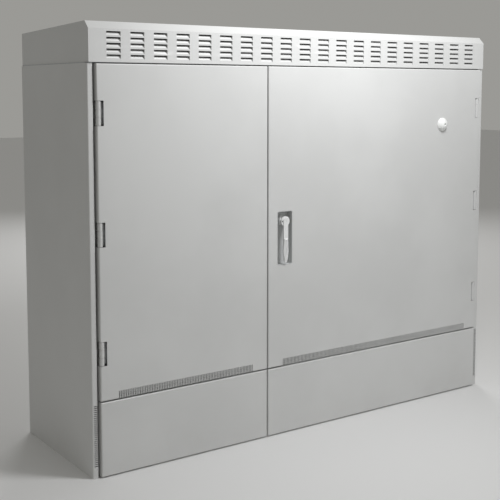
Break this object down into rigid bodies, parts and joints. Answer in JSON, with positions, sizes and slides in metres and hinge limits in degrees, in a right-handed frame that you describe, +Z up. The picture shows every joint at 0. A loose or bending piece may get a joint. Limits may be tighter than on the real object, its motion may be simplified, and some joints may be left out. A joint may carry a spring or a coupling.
{
  "type": "roadside utility cabinet",
  "caption": "Sheet steel roadside cabinet with a louvred hood, two unequal hinged doors, a recessed swing handle driving lock rods, and a rail base with anchor holes.",
  "frame": {"origin": "on the ground at the centre of the anchor bolt pattern", "axes": "+X along the front to the right, +Y to the rear, +Z up"},
  "size_m": [1.65, 0.5171, 1.35],
  "materials": {
    "powder_coat": "light grey powder coat, satin",
    "zinc_plate": "galvanised sheet",
    "bright_steel": "bright zinc plated steel",
    "seal_rubber": "black foam rubber, matte",
    "handle_grey": "mid grey powder coat",
    "lever_white": "off-white powder coat",
    "plug_white": "white moulded plastic",
    "bare_copper": "bare copper bar"
  },
  "bodies": {
    "cabinet": {"base_rail_front": "zinc_plate", "base_rail_rear": "zinc_plate", "base_rail_left": "zinc_plate", "base_rail_right": "zinc_plate", "post_front_left": "powder_coat", "post_front_right": "powder_coat", "post_rear_left": "powder_coat", "post_rear_right": "powder_coat", "centre_post": "powder_coat", "top_rail_front": "powder_coat", "top_rail_rear": "powder_coat", "sill_rail_front": "powder_coat", "sill_rail_rear": "powder_coat", "side_panel_left": "powder_coat", "side_panel_right": "powder_coat", "rear_panel": "powder_coat", "roof_plate": "zinc_plate", "hood": "powder_coat", "floor_plate_left": "zinc_plate", "floor_plate_right": "zinc_plate", "partition_wall": "zinc_plate", "plinth_panel_left": "powder_coat", "plinth_panel_right": "powder_coat", "mounting_plate": "zinc_plate", "din_rails": "bright_steel", "cable_clamp_rail": "bright_steel", "earth_bar": "bare_copper", "rack_rails_front": "zinc_plate", "rack_rails_rear": "zinc_plate", "rack_cross_bars": "zinc_plate", "left_frame_hinges": "powder_coat", "right_frame_hinges": "powder_coat", "left_hinge_pins": "bright_steel", "right_hinge_pins": "bright_steel"},
    "left_door": {"left_door_skin": "powder_coat", "left_door_liner": "powder_coat", "left_door_stiffener": "zinc_plate", "left_door_seal": "seal_rubber", "left_door_hinges": "powder_coat", "left_bolt_guides": "zinc_plate"},
    "left_bolt_upper": {"left_bolt_upper": "bright_steel"},
    "left_bolt_lower": {"left_bolt_lower": "bright_steel"},
    "right_door": {"right_door_skin": "powder_coat", "right_door_liner": "powder_coat", "right_door_stiffener": "zinc_plate", "right_door_seal": "seal_rubber", "right_door_hinges": "powder_coat", "handle_pan": "handle_grey", "lock_case": "zinc_plate", "rod_guides": "zinc_plate", "dome_plug": "plug_white"},
    "handle": {"handle_rotor": "lever_white", "lock_pinion": "bright_steel", "lever_pin": "bright_steel"},
    "lever": {"handle_lever": "lever_white"},
    "upper_rod": {"upper_rod": "bright_steel"},
    "lower_rod": {"lower_rod": "bright_steel"}
  },
  "joints": [
    {"name": "left_door_swing", "type": "hinge", "parent": "cabinet", "child": "left_door", "pos_m": [-0.792, -0.242, 0.731], "axis": [0, 0, -1], "range_deg": [0, 110]},
    {"name": "right_door_swing", "type": "hinge", "parent": "cabinet", "child": "right_door", "pos_m": [0.792, -0.242, 0.731], "axis": [0, 0, 1], "range_deg": [0, 110]},
    {"name": "left_bolt_upper_slide", "type": "slide", "parent": "left_door", "child": "left_bolt_upper", "axis": [0, 0, 1], "range_m": [0, 0.02]},
    {"name": "left_bolt_lower_slide", "type": "slide", "parent": "left_door", "child": "left_bolt_lower", "axis": [0, 0, -1], "range_m": [0, 0.02]},
    {"name": "handle_turn", "type": "hinge", "parent": "right_door", "child": "handle", "pos_m": [-0.124, -0.225, 0.721], "axis": [0, -1, 0], "range_deg": [0, 90]},
    {"name": "lever_tilt", "type": "hinge", "parent": "handle", "child": "lever", "pos_m": [-0.124, -0.236, 0.721], "axis": [-1, 0, 0], "range_deg": [0, 35]},
    {"name": "upper_rod_slide", "type": "slide", "parent": "right_door", "child": "upper_rod", "axis": [0, 0, -1], "range_m": [0, 0.019]},
    {"name": "lower_rod_slide", "type": "slide", "parent": "right_door", "child": "lower_rod", "axis": [0, 0, 1], "range_m": [0, 0.019]}
  ],
  "couplings": [
    {"joint": "upper_rod_slide", "follows": "handle_turn", "m_per_rad": 0.012},
    {"joint": "lower_rod_slide", "follows": "handle_turn", "m_per_rad": 0.012}
  ]
}
